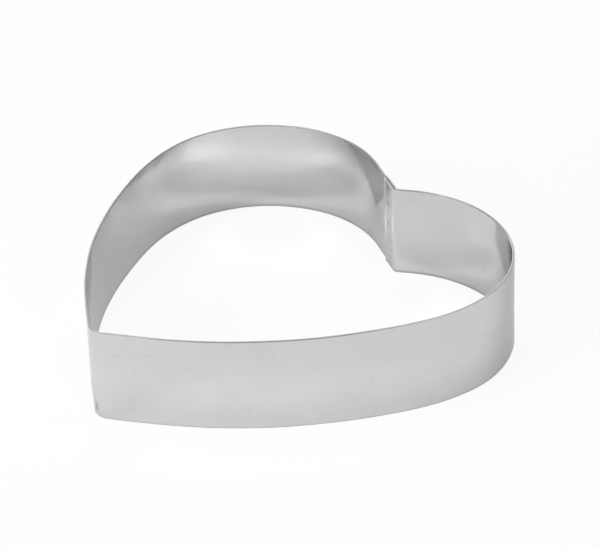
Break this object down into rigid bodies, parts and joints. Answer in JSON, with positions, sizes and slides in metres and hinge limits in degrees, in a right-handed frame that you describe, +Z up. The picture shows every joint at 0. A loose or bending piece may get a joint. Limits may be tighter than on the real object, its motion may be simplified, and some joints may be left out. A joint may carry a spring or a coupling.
{
  "type": "heart cake ring",
  "caption": "Bottomless heart-shaped cake ring: a bright stainless strip on edge, bent to a heart, its ends lapped and spot welded at the cleft, for baking, setting or cutting cakes.",
  "frame": {"origin": "middle of the ring's outline, at the height of the lower rim", "axes": "+X across the lobes, +Y from the tip to the cleft, +Z up from the lower rim to the upper rim"},
  "size_m": [0.202, 0.191, 0.045],
  "materials": {
    "stainless_sheet": "bright cold-rolled stainless sheet, semi-mirror, with faint rolling lines and fine scratches",
    "spot_weld": "dull dished mark left by the welding electrodes, slightly heat-tinted"
  },
  "bodies": {
    "root": {"heart_band": "stainless_sheet", "spot_weld_1": "spot_weld", "spot_weld_2": "spot_weld", "spot_weld_3": "spot_weld"}
  },
  "joints": []
}
